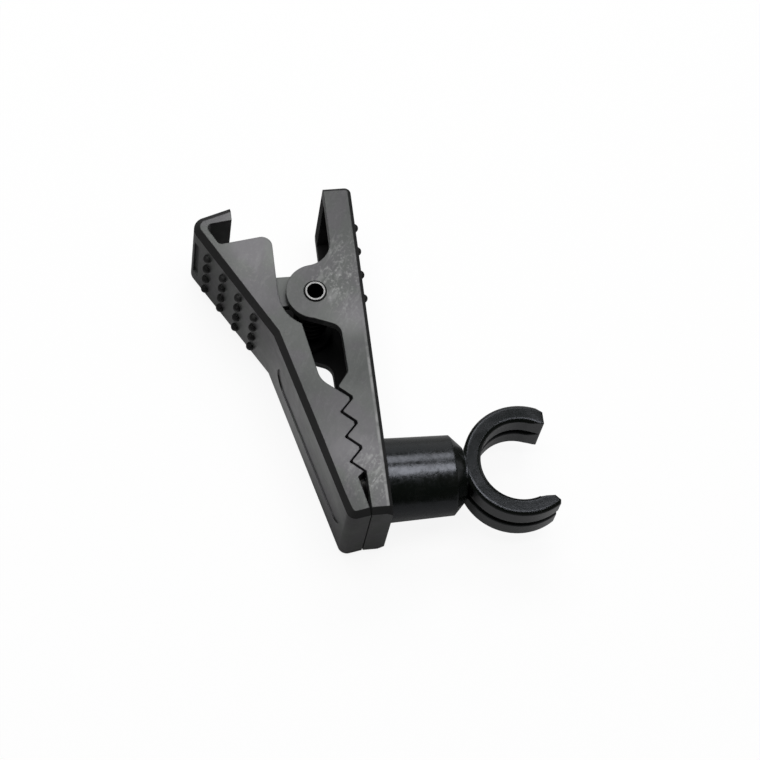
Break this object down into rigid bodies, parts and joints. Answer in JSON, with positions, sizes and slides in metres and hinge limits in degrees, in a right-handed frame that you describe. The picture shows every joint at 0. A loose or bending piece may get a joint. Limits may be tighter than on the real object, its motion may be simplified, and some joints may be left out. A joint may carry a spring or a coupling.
{
  "type": "spring clamp with ring holder",
  "caption": "Small plastic spring clamp with toothed jaws, a hooked handle, and a swivelling barrel that carries an open ring for a rod or tube.",
  "frame": {"origin": "on the pivot axis, at mid-width of the clamp", "axes": "+X along the rear lever's outer plate towards the jaw tip, +Y out of that plate towards the ring, +Z along the pivot tube"},
  "size_m": [0.0503, 0.0467, 0.0164],
  "materials": {
    "lever_plastic": "moulded, fine matt grain",
    "holder_plastic": "moulded, satin",
    "rivet_metal": "plain, bright",
    "spring_steel": "drawn wire",
    "screw_steel": "zinc plated"
  },
  "bodies": {
    "rear_lever": {"rear_lever": "lever_plastic", "pivot_tube": "rivet_metal", "torsion_spring": "spring_steel"},
    "front_lever": {"front_lever": "lever_plastic"},
    "ring_holder": {"ring_holder": "holder_plastic", "swivel_screw": "screw_steel", "swivel_washer": "screw_steel"}
  },
  "joints": [
    {"name": "jaw_hinge", "type": "hinge", "parent": "rear_lever", "child": "front_lever", "pos_m": [0, 0, 0], "axis": [0, 0, -1], "range_deg": [0, 40], "stiffness_Nm_per_rad": 0.15, "springref_deg": -60.16, "deforming": ["torsion_spring"]},
    {"name": "holder_swivel", "type": "hinge", "parent": "rear_lever", "child": "ring_holder", "pos_m": [0.0261, 0.0069, 0], "axis": [0, 1, 0], "continuous": true}
  ]
}
